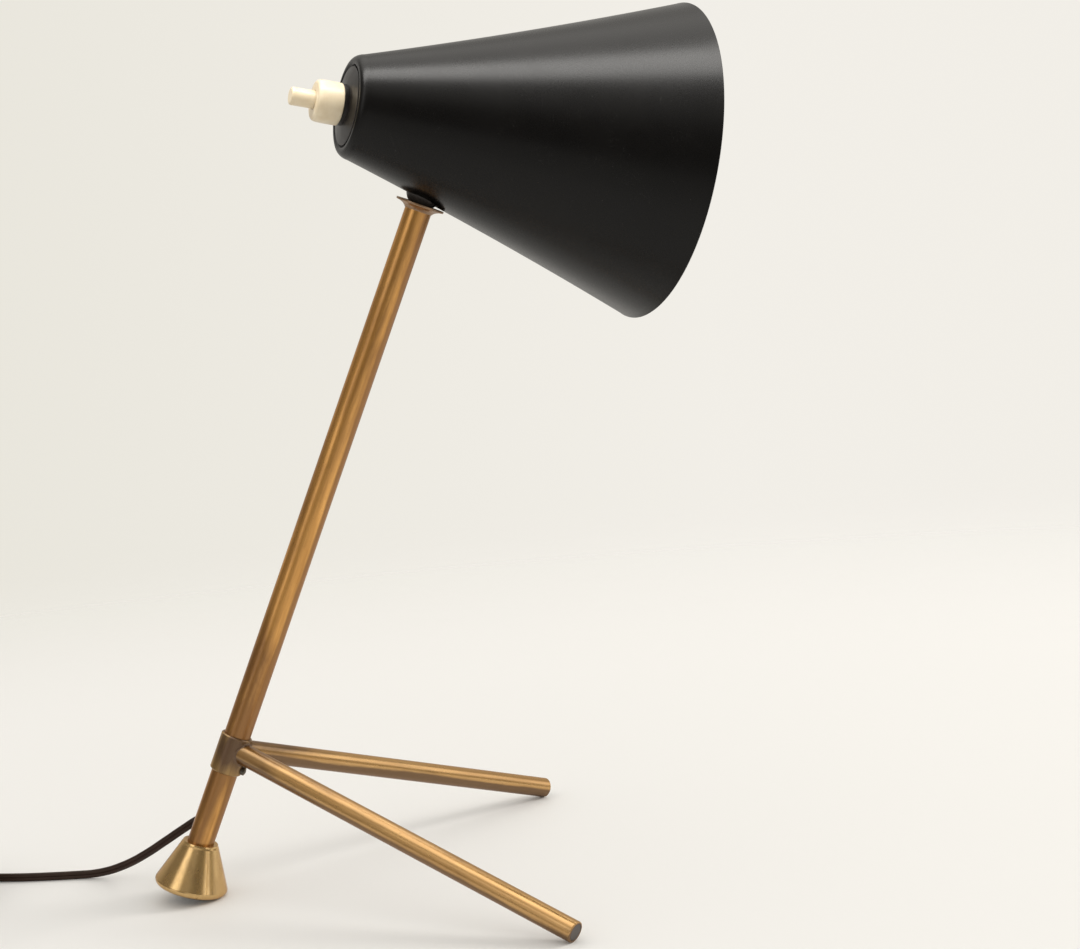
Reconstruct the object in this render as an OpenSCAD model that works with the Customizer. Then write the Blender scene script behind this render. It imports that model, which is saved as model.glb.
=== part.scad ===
/* [Stem and foot] */
// Lean of the stem from the vertical, degrees
lean = 24.2; // [22:0.2:26]
// Outer diameter of the stem tube
stem_d = 12; // [11.4:0.1:12.6]
// Wall of the stem tube
stem_wall = 1; // [0.8:0.1:1.3]
// Distance along the stem's axis from the floor to the tube's lower end
stem_start = 15; // [13:0.5:18]
// Distance along the stem's axis from the floor to the swivel ball's centre
ball_s = 338.6; // [320:0.2:380]
// Height of the turned foot along its own axis
foot_h = 22.4; // [20:0.2:25]
// Radius of the foot at its base
foot_r = 16.6; // [15.5:0.1:18]
// Radius of the foot at its top
foot_top_r = 8.2; // [7.8:0.1:9]
// Lean of the foot's own axis, degrees
foot_lean = 18; // [16:0.5:20]
// Radius of the foot's rounded base edge
foot_round = 2.4; // [1:0.2:3]
// Distance along the stem's axis from the floor to the cord hole
cord_hole_s = 34.4; // [33.5:0.1:36]
// Turn of the cord hole from the stem's underside round to its back, degrees
cord_hole_turn = 75; // [60:1:90]

/* [Legs] */
// Distance along the stem's axis from the floor to the legs' joint
leg_s = 73.9; // [70:0.5:90]
// Diameter of a leg tube
leg_d = 9.6; // [8.6:0.1:10.4]
// Wall of a leg tube
leg_wall = 1; // [0.8:0.1:1.3]
// Distance of the leg ends in front of the point where the stem's axis meets the floor
toe_x = 173; // [150:1:190]
// Distance of each leg end from the lamp's middle plane
toe_y = 111.6; // [90:0.2:120]
// Outer diameter of the sleeve on the stem
collar_d = 14.4; // [14:0.1:16]
// Length of the sleeve
collar_len = 17.5; // [15:0.5:22]
// Distance of the sleeve's middle below the legs' joint
collar_shift = 2.1; // [0:0.1:3]
// Radius of the edge round a leg's end
toe_round = 0.6; // [0.3:0.1:0.7]
// Length of the plug in a leg's end
toe_shank = 9; // [6:1:14]

/* [Swivel] */
// Radius of the swivel ball
ball_r = 8; // [7.6:0.1:8.4]
// Distance from the ball's centre to the shade's outer face
ball_drop = 3.6; // [3.4:0.1:3.8]
// Outer radius of the cup on the stem's top
cup_r = 10.9; // [10.6:0.1:11.4]
// Depth of the cup's flare
cup_flare = 3.2; // [2.8:0.1:3.6]
// Gap between the cup's rim and the shade at the end of the tip's travel
rim_gap = 0.33; // [0.3:0.01:0.5]
// Radius of the hollow nipple that holds the swivel together
nipple_r = 3; // [2.8:0.1:3.2]
// Radius of the nipple's bore
nipple_bore_r = 2.1; // [2:0.05:2.2]
// Radius of the flange that carries the ball inside the shade
ball_flange_r = 10.5; // [10:0.1:11.5]
// Radius of the cap washer
cap_r = 6.6; // [6.2:0.1:7]
// Turn of the shade about the stem in the photographed pose, degrees
shade_pan = 16.2; // [0:0.2:30]
// Rise of the shade's axis above square to the stem in that pose, degrees
shade_lift = 9.2; // [7:0.1:11]

/* [Shade] */
// Length of the shade
shade_len = 146; // [135:0.5:160]
// Radius of the shade's mouth
mouth_r = 71.5; // [66:0.5:76]
// Radius that the shade's side would have at its rear face
rear_r = 21.6; // [21:0.2:24]
// How far the trumpet side dips inside a straight cone
flare_sag = 1.3; // [1:0.1:2.5]
// Wall of the shade
shade_wall = 1; // [0.8:0.1:1.2]
// Distance from the shade's rear face to the ball's centre, along the shade
ball_x = 41.4; // [38:0.2:48]
// Length of the rounded shoulder
shoulder = 4.4; // [3:0.2:5]
// Radius of the lip round the recessed rear face
lip_r = 18.6; // [17:0.2:19]
// Depth of the recess in the rear face
recess = 1.5; // [1:0.1:2]

/* [Lamp holder and switch] */
// Radius of the ring between the rear face and the nose
nose_ring_r = 9; // [8.5:0.1:9.6]
// Length of that ring
nose_ring_len = 4.7; // [4:0.1:6]
// Length of its straight neck behind the cone that covers the rear face
ring_neck = 1.7; // [1:0.1:2.4]
// Radius of the ivory nose
nose_r = 9.25; // [8.8:0.05:9.8]
// Length of the ivory nose
nose_len = 11.5; // [10:0.1:13]
// Radius of the switch button
button_r = 3.9; // [3.5:0.1:4.2]
// How far the button stands out of the nose
button_out = 10.5; // [8:0.1:12]
// Travel of the button
button_travel = 3; // [2:0.1:3.2]
// Outer radius of the lamp holder
holder_r = 12; // [11.6:0.1:12.6]
// Length of the lamp holder from the rear face
holder_len = 40; // [38:0.5:42]
// Radius of the bulb's cap
cap_screw_r = 6.9; // [6.8:0.05:7]
// Radius of the bulb's glass ball
bulb_r = 22.5; // [20:0.5:24]
// Length of the bulb
bulb_len = 78; // [74:1:82]

/* [Cord and plug] */
// Diameter of the flex
cord_d = 3.9; // [3.5:0.1:3.9]
// Radius of the coil's outermost turn
coil_out_r = 29.25; // [28:0.25:32]
// Radial step from one turn of the coil to the next
coil_pitch = 5; // [4.6:0.1:5.4]
// Rise from one layer of the coil to the next
coil_rise = 4.4; // [4.35:0.05:5]
// Turns of the coil
coil_turns = 10; // [4:4:20]
// Thickness of the coil's tie
tie_t = 0.8; // [0.6:0.1:1]
// Width of the coil's tie
tie_w = 5; // [3:0.5:8]
// Length of the plug's body
plug_len = 36; // [30:1:42]
// Width of the plug's body
plug_w = 35.3; // [34:0.1:37]
// Thickness of the plug's body
plug_t = 13.7; // [13:0.1:15]
// Diameter of a plug pin
pin_d = 4; // [4:0.1:4.8]
// Length of a plug pin
pin_len = 19; // [18:0.5:20]
// Distance between the plug pins' axes
pin_gap = 18.6; // [17.5:0.1:19]
// Length of the plug's strain relief
relief_len = 26; // [20:1:40]

/* [Hidden] */
$fn = 64;
fit = 0.05;
free_gap = 0.3;

stem_r = stem_d / 2;
stem_bore_r = stem_r - stem_wall;
leg_r = leg_d / 2;
collar_r = collar_d / 2;
cord_r = cord_d / 2;

// Foot: the rounded edge's front touches the floor, the top's centre lies on the stem's axis.
foot_z = (foot_r - foot_round) * sin(foot_lean) + foot_round * (1 - cos(foot_lean));
foot_top_z = foot_z + foot_h * cos(foot_lean);
foot_x = foot_top_z * tan(lean) - foot_h * sin(foot_lean);
foot_top_s = foot_top_z / cos(lean);
foot_bore = foot_top_s - stem_start + free_gap;

// Legs: each end's rounded edge touches the floor.
leg_top = [leg_s * sin(lean), 0, leg_s * cos(lean)];
leg_flat = norm([toe_x - leg_top[0], toe_y]);
function leg_dip(z) = atan((leg_top[2] - z) / leg_flat);
function toe_height(dip) = (leg_r - toe_round) * cos(dip) + toe_round * (1 - sin(dip));
leg_angle = leg_dip(toe_height(leg_dip(toe_height(leg_dip(0)))));
leg_yaw = atan2(toe_y, toe_x - leg_top[0]);
leg_len = leg_flat / cos(leg_angle);

// Shade side: radius at distance x from the rear face.
function side_r(x) = rear_r + (mouth_r - rear_r) * x / shade_len
    - 4 * flare_sag * (x / shade_len) * (1 - x / shade_len);
function side_angle(x) = atan((side_r(x + 0.5) - side_r(x - 0.5)));
side_a = side_angle(ball_x);
seat_x = ball_x - ball_drop * sin(side_a);
ball_z = side_r(seat_x) - ball_drop * cos(side_a);
side_steps = 14;
wall_out = shade_wall / cos(side_a);

// Swivel: the swing each way from the place where wall and rim are parallel.
swing = side_a - shade_lift;
rim_h = ball_drop / cos(swing) + cup_r * tan(swing) + rim_gap;
cup_edge = 0.9;
cup_base_h = rim_h + cup_flare;
seat_r = ball_r + fit;
spigot_len = 10;
ball_bore_r = nipple_r / cos(swing) + ball_r * tan(swing) + free_gap;
ball_in_h = ball_drop - shade_wall;
ball_hole_r = sqrt(pow(ball_r, 2) - pow(ball_in_h, 2)) + 0.15;
flange_top_h = ball_in_h - pow(ball_flange_r, 2) / (2 * (side_r(seat_x) - shade_wall)) - 0.9;
cap_top_h = ball_r + 1.1;
spring_h = cap_top_h + fit;
spring_t = 1;
nut_h = spring_h + spring_t;
nut_t = 2.4;
nipple_top_h = nut_h + nut_t + 0.4;
cup_s = ball_s - cup_base_h;

// Middle of the lamp, from the back of the foot to the front of the shade's mouth: the origin
// lies under it, and stem_x is where the stem's axis meets the floor.
shade_dir = [cos(shade_lift) * cos(shade_pan) * cos(lean) + sin(shade_lift) * sin(lean),
    cos(shade_lift) * sin(shade_pan),
    -cos(shade_lift) * cos(shade_pan) * sin(lean) + sin(shade_lift) * cos(lean)];
shade_up_x = -sin(shade_lift) * cos(shade_pan) * cos(lean) + cos(shade_lift) * sin(lean);
mouth_x = ball_s * sin(lean) + shade_up_x * ball_z + shade_dir[0] * (shade_len - ball_x);
front_x = mouth_x + mouth_r * sqrt(1 - pow(shade_dir[0], 2));
back_x = foot_x - (foot_r - foot_round) * cos(foot_lean) + foot_round * sin(foot_lean) - foot_round;
stem_x = -(front_x + back_x) / 2;

// Lamp holder, along the shade's axis from the rear face.
plate_in = recess + shade_wall;
thread_r = 5;
nut2_t = 3;
shell_x = plate_in + nut2_t;
shell_wall = 1.4;
shell_base = 2;
core_x = shell_x + shell_base;
core_t = 9;
screw_x = core_x + core_t;
screw_flange = 0.8;
screw_t = 0.6;
contact_t = 1.6;
bulb_x = screw_x + contact_t + fit;
cap_len = 23;
glass_x = bulb_x + cap_len - 2;
glass_neck_r = 8.6;
glass_t = 0.9;
glass_c = bulb_x + bulb_len - bulb_r;
nose_x = recess - nose_ring_len;
ring_flange_r = lip_r - 1.4;
ring_edge = recess - 0.3;
nose_end = nose_x - nose_len;
nose_front = 3.7;
button_flange_r = 4.7;
button_flange_t = 1;
button_shaft_r = 2.2;
nose_hole_x = nose_end + nose_front;
nipple2_end = nose_hole_x + button_flange_t + button_travel + 2 * free_gap;

// Route of the cord: exit, fall to the floor, way out to the left.
coil_x = -124;
coil_y = 34;
coil_start = 75;
coil_z = cord_r + tie_t + 0.2;
hole_out = stem_r + 1;
exit_dir = [-cos(lean) * cos(cord_hole_turn), sin(cord_hole_turn), sin(lean) * cos(cord_hole_turn)];
exit_pt = cord_hole_s * [sin(lean), 0, cos(lean)] + hole_out * exit_dir;
coil_in = [coil_x + coil_out_r * cos(coil_start), coil_y + coil_out_r * sin(coil_start), coil_z];
coil_dir = [-sin(coil_start), cos(coil_start), 0];
coil_first = coil_in - cord_d * coil_dir;
coil_top_z = coil_z + 3 * coil_rise;
coil_last = [coil_in[0], coil_in[1], coil_top_z] + cord_d * coil_dir;
plug_z = plug_t / 2;
relief_x = -178;
plug_y = 71;
free_route = [exit_pt, exit_pt + 2.2 * exit_dir, exit_pt + 4.4 * exit_dir, [9.8, 15.1, 31.9],
    [6.9, 18.3, 29.9], [3.1, 20.6, 27.3], [-1.2, 22.5, 24.5], [-5.4, 24.3, 21.7], [-9.7, 26.2, 18.9],
    [-14, 28.3, 16], [-18.7, 31, 13], [-24, 34.3, 9.8], [-30, 37.8, 6.8], [-37, 41.4, 4.1],
    [-45, 44.4, 2.4], [-54, 46.4, 2], [-66, 48.2, 2], [-79, 50.8, 2], [-92, 54.6, 2],
    [-103, 58.4, 2.3], coil_first - 4 * coil_dir, coil_first - 2 * coil_dir, coil_first];
tail_route = [coil_last, coil_last + 2 * coil_dir, coil_last + 4 * coil_dir, [-128, 65.8, 15.9],
    [-140, 68.4, 13.8], [-152, 70.2, 10.6], [-163, 71, 8], [relief_x + 5, plug_y, plug_z],
    [relief_x + 2.5, plug_y, plug_z], [relief_x, plug_y, plug_z]];

// Coil: spirals in and out again, climbing one layer round each reversal.
layers = 4;
layer_turns = coil_turns / layers;
rings_per_turn = 24;
function clamp01(v) = min(1, max(0, v));
function ease(v) = v * v * (3 - 2 * v);
function coil_layer(t) = min(layers - 1, floor(t / layer_turns));
function coil_in_layer(t) = t - coil_layer(t) * layer_turns;
function coil_depth(t) = coil_layer(t) % 2 == 0 ? coil_in_layer(t) : layer_turns - coil_in_layer(t);
function coil_r(t) = coil_out_r - coil_pitch * coil_depth(t);
function coil_climb(t, k) = ease(clamp01((t - k * layer_turns) / 0.5 + 0.5));
function coil_h(t) = coil_z + coil_rise * (coil_climb(t, 1) + coil_climb(t, 2) + coil_climb(t, 3));
function coil_pt(t) = [coil_x + coil_r(t) * cos(coil_start + 360 * t),
    coil_y + coil_r(t) * sin(coil_start + 360 * t), coil_h(t)];
coil_path = concat([coil_first],
    [for (i = [0 : coil_turns * rings_per_turn]) coil_pt(i / rings_per_turn)],
    [coil_last]);
function path_len(p, i = 0) = i >= len(p) - 1 ? 0 : norm(p[i + 1] - p[i]) + path_len(p, i + 1);
coil_gap = min([for (i = [1 : 2 : len(coil_path) - 14])
    min([for (j = [i + 13 : len(coil_path) - 1]) norm(coil_path[i] - coil_path[j])])]) - cord_d;
echo(coil_self_gap = coil_gap);
echo(cord_length = path_len(free_route) + path_len(coil_path) + path_len(tail_route) + relief_len);

// Tube swept along points, with rings square to the path.
function unit(v) = v / norm(v);
function way(p, i) = unit(p[min(i + 1, len(p) - 1)] - p[max(i - 1, 0)]);
function ring(p, i, r, n) = let (t = way(p, i), s = unit(cross([0, 0, 1], t)), u = cross(t, s))
    [for (k = [0 : n - 1]) p[i] + r * (cos(360 * (k + 0.5) / n) * s + sin(360 * (k + 0.5) / n) * u)];
function curve_pt(a, b, c, d, t) = 0.5 * (2 * b + (c - a) * t + (2 * a - 5 * b + 4 * c - d) * t * t
    + (3 * b - a - 3 * c + d) * t * t * t);
function smooth_route(p, m) = concat([p[0]], [for (i = [0 : len(p) - 2]) for (k = [1 : m])
    curve_pt(p[max(i - 1, 0)], p[i], p[i + 1], p[min(i + 2, len(p) - 1)], k / m)]);

module tube_along(p, r, n) {
    rings = len(p);
    pts = [for (i = [0 : rings - 1]) each ring(p, i, r, n)];
    sides = [for (i = [0 : rings - 2]) for (k = [0 : n - 1]) each [
        [i * n + k, (i + 1) * n + (k + 1) % n, i * n + (k + 1) % n],
        [i * n + k, (i + 1) * n + k, (i + 1) * n + (k + 1) % n]]];
    ends = [[for (k = [0 : n - 1]) k], [for (k = [0 : n - 1]) rings * n - 1 - k]];
    polyhedron(pts, concat(sides, ends));
}

// Frames: along the stem, at the ball, at the shade's rear face, along the shade's axis.
module on_stem(s) {
    translate([stem_x, 0, 0]) rotate([0, lean, 0]) translate([0, 0, s]) children();
}
module shade_frame() {
    on_stem(ball_s) rotate([0, 0, shade_pan]) rotate([0, -shade_lift, 0])
        translate([-ball_x, 0, ball_z]) children();
}
module shade_axis(x) {
    shade_frame() rotate([0, 90, 0]) translate([0, 0, x]) children();
}
module ball_frame() {
    on_stem(ball_s) rotate([0, 0, shade_pan]) rotate([0, swing, 0]) children();
}
module foot_frame() {
    translate([stem_x + foot_x, 0, foot_z]) rotate([0, foot_lean, 0]) children();
}
module leg_frame(side) {
    translate([stem_x, 0, 0] + leg_top) rotate([0, 0, side * leg_yaw])
        rotate([0, 90 + leg_angle, 0]) children();
}
module round_tube(r, bore, len) {
    difference() {
        cylinder(r = r, h = len);
        translate([0, 0, -1]) cylinder(r = bore, h = len + 2);
    }
}
module hex_nut(across, thick, bore) {
    difference() {
        cylinder(r = across / 2 / cos(30), h = thick, $fn = 6);
        translate([0, 0, -1]) cylinder(r = bore, h = thick + 2);
    }
}

module stem_tube() {
    color("#b08a4c") difference() {
        on_stem(stem_start) round_tube(stem_r, stem_bore_r, cup_s - stem_start);
        cord_hole() cylinder(r = bushing_r + fit, h = stem_d);
    }
}

foot_side = atan((foot_r - foot_top_r) / foot_h);
lip = 0.7;
module foot_profile() {
    cr = foot_round;
    cx = foot_r - cr;
    polygon(concat([[0, 0]],
        [for (a = [-90 : 15 : foot_side]) [cx + cr * cos(a), cr + cr * sin(a)]],
        [[foot_top_r + lip * 0.6, foot_h - lip * 2], [foot_top_r, foot_h - lip],
        [foot_top_r - lip * 0.4, foot_h], [0, foot_h]]));
}
module foot_cone() {
    color("#b8924e") difference() {
        foot_frame() rotate_extrude() foot_profile();
        on_stem(foot_top_s - foot_bore) cylinder(r = stem_r + fit, h = foot_bore + 20);
    }
}

module leg_collar() {
    color("#7a5a44") on_stem(leg_s - collar_shift - collar_len / 2) difference() {
        rotate_extrude() polygon([[0, 0], [collar_r - 0.5, 0], [collar_r, 0.5],
            [collar_r, collar_len - 0.5], [collar_r - 0.5, collar_len], [0, collar_len]]);
        translate([0, 0, -1]) cylinder(r = stem_r + fit, h = collar_len + 2);
    }
}

// A leg is coped to the sleeve and mitred against the other leg in the middle plane.
module leg(side) {
    difference() {
        leg_frame(side) difference() {
            rotate_extrude() polygon(concat([[0, 0], [leg_r, 0]],
                [for (a = [0 : 15 : 90]) [leg_r - toe_round + toe_round * cos(a),
                    leg_len - toe_round + toe_round * sin(a)]], [[0, leg_len]]));
            translate([0, 0, collar_r + 4]) cylinder(r = leg_r - leg_wall, h = leg_len);
        }
        on_stem(leg_s - 2 * leg_d) cylinder(r = collar_r, h = 4 * leg_d);
        translate([stem_x - leg_len, side > 0 ? -2 * leg_len : 0, -leg_len]) cube(2 * leg_len);
    }
}
module leg_near() { color("#b08a4c") leg(-1); }
module leg_far() { color("#b08a4c") leg(1); }
module leg_plug(side) {
    plug_r = leg_r - leg_wall - fit;
    color("#2b2622") leg_frame(side) translate([0, 0, leg_len - toe_shank])
        rotate_extrude() polygon([[0, 0], [plug_r - 0.5, 0], [plug_r, 0.8],
            [plug_r, toe_shank - 0.2], [plug_r - 0.2, toe_shank], [0, toe_shank]]);
}
module leg_plug_near() { leg_plug(-1); }
module leg_plug_far() { leg_plug(1); }

// Flared cup: its hollow is the ball's lower seat.
module stem_cup() {
    color("#8f7350") on_stem(ball_s) difference() {
        rotate_extrude() polygon([[0, -cup_base_h - spigot_len],
            [stem_bore_r - fit, -cup_base_h - spigot_len], [stem_bore_r - fit, -cup_base_h],
            [stem_r + 0.2, -cup_base_h], [stem_r + 0.6, -cup_base_h + cup_flare * 0.18],
            [stem_r + 1.5, -cup_base_h + cup_flare * 0.42],
            [stem_r + (cup_r - stem_r) * 0.6, -cup_base_h + cup_flare * 0.62],
            [cup_r - 0.2, -rim_h - cup_edge], [cup_r, -rim_h - cup_edge * 0.6],
            [cup_r, -rim_h], [cup_r - 0.8, -rim_h], [cup_r - 1.6, -rim_h - 0.35],
            [sqrt(pow(seat_r, 2) - pow(rim_h + 0.35, 2)) - 0.5, -rim_h - 0.35],
            [0, -rim_h - 0.35]]);
        sphere(r = seat_r);
        translate([0, 0, -cup_base_h - spigot_len - 1]) cylinder(r = nipple_r + fit, h = 30);
    }
}
module swivel_nipple() {
    color("#a8834a") on_stem(ball_s - cup_base_h - spigot_len + 1)
        round_tube(nipple_r, nipple_bore_r, nipple_top_h + cup_base_h + spigot_len - 1);
}
module disc_spring() {
    color("#8d8d8d") on_stem(ball_s + spring_h) rotate_extrude() polygon([
        [nipple_r + fit, spring_t - 0.5], [cap_r - 1.8, 0], [cap_r - 1.2, 0],
        [cap_r - 1.2, 0.4], [nipple_r + 0.9, spring_t], [nipple_r + fit, spring_t]]);
}
module swivel_nut() {
    color("#a8834a") on_stem(ball_s + nut_h) hex_nut(9, nut_t, nipple_r + fit);
}

bushing_r = cord_r + 0.75;
module cord_hole() {
    on_stem(cord_hole_s) rotate([0, 0, -cord_hole_turn]) rotate([0, -90, 0]) children();
}
module cord_bushing() {
    color("#1f1a17") cord_hole() difference() {
        rotate_extrude() polygon([[0, stem_bore_r - 1.2], [bushing_r, stem_bore_r - 1.2],
            [bushing_r, hole_out], [0, hole_out]]);
        cylinder(r = bushing_r - 0.7, h = hole_out - 2);
    }
}

// Two insulated wires from the bushing up the stem and out of the nipple.
wire_r = 0.95;
wire_off = 1;
module stem_wires() {
    color("#3a2a20") on_stem(cord_hole_s) rotate([0, 0, -cord_hole_turn]) {
        for (k = [-1, 1]) translate([0, k * wire_off, 4])
            cylinder(r = wire_r, h = ball_s - cord_hole_s + nipple_top_h - 4 + 0.4, $fn = 24);
        for (k = [-1, 1]) translate([0, k * wire_off, 4]) rotate([0, -90, 0])
            translate([-4, 0, 0]) cylinder(r = wire_r, h = stem_bore_r - 1.2, $fn = 24);
        translate([-wire_r, -wire_off - wire_r, 0]) cube([2 * wire_r, 2 * (wire_off + wire_r), 4.4]);
    }
}

module cap_washer() {
    color("#a8834a") on_stem(ball_s) difference() {
        rotate_extrude() polygon([[0, ball_r * 0.6], [cap_r, ball_r * 0.6],
            [cap_r, ball_r * 0.6 + 1.6], [cap_r - 1.4, cap_top_h], [0, cap_top_h]]);
        sphere(r = seat_r);
        cylinder(r = nipple_r + fit, h = 20);
    }
}

// Solid inside of the shade, from the profile's own values.
module shade_side(off, x0, x1) {
    rotate_extrude($fn = 96) polygon(concat([[0, x0]],
        [for (i = [0 : side_steps]) let (x = x0 + (x1 - x0) * i / side_steps)
            [side_r(x) - off, x]], [[0, x1]]));
}
module swivel_ball() {
    color("#a8834a") difference() {
        union() {
            ball_frame() intersection() {
                sphere(r = ball_r);
                translate([0, 0, -ball_r + 1.2]) cylinder(r = ball_r + 1, h = 2 * ball_r - 2.4);
            }
            intersection() {
                ball_frame() translate([0, 0, -ball_in_h - 3])
                    cylinder(r = ball_flange_r, h = 3 + ball_in_h - flange_top_h);
                shade_axis(0) shade_side(wall_out, plate_in, shade_len);
            }
        }
        ball_frame() translate([0, 0, -20]) cylinder(r = ball_bore_r, h = 40);
    }
}

// Shade: trumpet side, rounded shoulder, lip and recessed rear face with the holder's hole.
module shade_shell() {
    sh_r = side_r(shoulder);
    turn = sh_r - lip_r - 1.6;
    color("#1c1b1b") difference() {
        shade_axis(0) rotate_extrude($fn = 96) polygon(concat(
            [[thread_r + fit, recess], [lip_r - 1, recess], [lip_r - 0.5, 0.2], [lip_r, 0],
                [lip_r + 1, 0]],
            [for (a = [15 : 15 : 75]) [sh_r - turn + turn * sin(a) - 0.6 * cos(a),
                shoulder - shoulder * cos(a)]],
            [for (i = [0 : side_steps]) let (x = shoulder + (shade_len - shoulder) * i / side_steps)
                [side_r(x), x]],
            [for (i = [side_steps : -1 : 0]) let (x = plate_in + 2
                + (shade_len - plate_in - 2) * i / side_steps) [side_r(x) - wall_out, x]],
            [[side_r(plate_in) - wall_out - 2.2, plate_in], [thread_r + fit, plate_in]]));
        ball_frame() translate([0, 0, -20]) cylinder(r = ball_hole_r, h = 20);
    }
}

module nose_ring() {
    color("#2a2420") shade_axis(nose_x) difference() {
        rotate_extrude() polygon([[0, 0], [nose_ring_r - 0.5, 0], [nose_ring_r, 0.5],
            [nose_ring_r, ring_neck], [ring_flange_r - 0.3, nose_ring_len - ring_edge - 0.3],
            [ring_flange_r, nose_ring_len - ring_edge], [ring_flange_r, nose_ring_len],
            [0, nose_ring_len]]);
        translate([0, 0, -1]) cylinder(r = thread_r + fit, h = nose_ring_len + 2);
    }
}
module switch_nose() {
    color("#efe6cf") shade_axis(nose_end) difference() {
        rotate_extrude() polygon([[0, 0], [nose_r - 1.4, 0], [nose_r - 0.5, 0.4], [nose_r, 1.3],
            [nose_r, nose_len], [0, nose_len]]);
        translate([0, 0, -1]) cylinder(r = button_r + 0.1, h = nose_len + 2);
        translate([0, 0, nose_front]) cylinder(r = thread_r + fit, h = nose_len);
    }
}
module holder_nipple() {
    color("#a8834a") shade_axis(nipple2_end) round_tube(thread_r, 3.6, core_x - nipple2_end);
}
module holder_nut() {
    color("#a8834a") shade_axis(plate_in) hex_nut(14, nut2_t, thread_r + fit);
}
slot_w = 5.4;
slot_x = shell_x + 3.4;
module holder_shell() {
    color("#e8dfc6") shade_axis(shell_x) difference() {
        rotate_extrude() polygon([[0, 0], [holder_r - 1.5, 0], [holder_r, 1.5],
            [holder_r, holder_len - shell_x], [0, holder_len - shell_x]]);
        translate([0, 0, shell_base]) cylinder(r = holder_r - shell_wall, h = holder_len);
        translate([0, 0, -1]) cylinder(r = thread_r + fit, h = 10);
        translate([holder_r - 4, -slot_w / 2, slot_x - shell_x]) cube([8, slot_w, 7.4]);
    }
}
module holder_core() {
    color("#f0ead8") shade_axis(core_x) difference() {
        cylinder(r = holder_r - shell_wall - fit, h = core_t);
        translate([0, 0, -1]) cylinder(r = 3, h = 6);
        translate([holder_r - 5.2, -slot_w / 2, -1]) cube([8, slot_w, slot_x - core_x + 6]);
    }
}
module screw_shell() {
    color("#c9a45a") shade_axis(screw_x) difference() {
        union() {
            cylinder(r = holder_r - shell_wall - 0.3, h = screw_flange);
            cylinder(r = cap_screw_r + 2 * fit + screw_t,
                h = bulb_x + cap_len - 5 - free_gap - screw_x);
        }
        translate([0, 0, -1]) cylinder(r = cap_screw_r + 2 * fit, h = holder_len);
    }
}
module centre_contact() {
    color("#c9a45a") shade_axis(screw_x) cylinder(r = 2.6, h = contact_t, $fn = 32);
}
wire_z = holder_r + wire_r + 0.5;
module holder_wires() {
    top = [ball_x + (nipple_top_h + 1) * sin(shade_lift), -ball_z + (nipple_top_h + 1) * cos(shade_lift)];
    color("#3a2a20") shade_frame() for (k = [-1, 1]) tube_along(smooth_route([
        [top[0], k * wire_off, top[1]], [top[0] - 0.1, k * wire_off, top[1] + 0.6],
        [top[0] - 1, k * wire_off, top[1] + 2], [top[0] - 3.2, k * wire_off, -wire_z - 0.4],
        [top[0] - 8, k * wire_off, -wire_z], [slot_x + 12, k * wire_off, -wire_z],
        [slot_x + 6, k * wire_off, -wire_z + 0.5], [slot_x + 3, k * wire_off, -wire_z + 2.4],
        [slot_x + 2.4, k * wire_off, -wire_z + 4.4]], 3), wire_r, 6);
}
module bulb_cap() {
    color("#c8c8c8") shade_axis(bulb_x) difference() {
        rotate_extrude() polygon([[0, 0], [2.4, 0], [3.4, 1.4], [cap_screw_r - 0.4, 3.4],
            [cap_screw_r, 4.2], [cap_screw_r, cap_len - 5], [glass_neck_r + 0.7, cap_len - 3],
            [glass_neck_r + 0.7, cap_len], [0, cap_len]]);
        translate([0, 0, cap_len - 2]) cylinder(r = glass_neck_r + fit, h = 4);
        translate([0, 0, 4.2]) cylinder(r = cap_screw_r - 0.6, h = cap_len);
    }
}
// Glass: neck, straight run tangent to the ball, ball; hollow.
neck_d = norm([glass_c - glass_x - 3, glass_neck_r]);
neck_a = asin(bulb_r / neck_d) - atan(glass_neck_r / (glass_c - glass_x - 3));
module glass_solid(off, x0) {
    rotate_extrude() polygon(concat([[0, x0], [glass_neck_r - off, x0],
        [glass_neck_r - off, glass_x + 3]],
        [for (i = [0 : 20]) let (a = 90 - neck_a + (90 + neck_a) * i / 20)
            [(bulb_r - off) * sin(a), glass_c - (bulb_r - off) * cos(a)]]));
}
module bulb_glass() {
    color("#f7f5ee") shade_axis(0) difference() {
        glass_solid(0, glass_x + fit);
        glass_solid(glass_t, glass_x - 1);
    }
}
module switch_button() {
    color("#f2ead6") shade_axis(nose_end - button_out) rotate_extrude() polygon([
        [0, 0], [button_r - 0.8, 0], [button_r - 0.2, 0.3], [button_r, 0.9],
        [button_r, button_out + nose_front + 0.1], [button_flange_r, button_out + nose_front + 0.1],
        [button_flange_r, button_out + nose_front + 0.1 + button_flange_t],
        [button_shaft_r, button_out + nose_front + 0.1 + button_flange_t],
        [button_shaft_r, core_x - button_travel - nose_end + button_out + 2],
        [0, core_x - button_travel - nose_end + button_out + 2]]);
}

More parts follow.
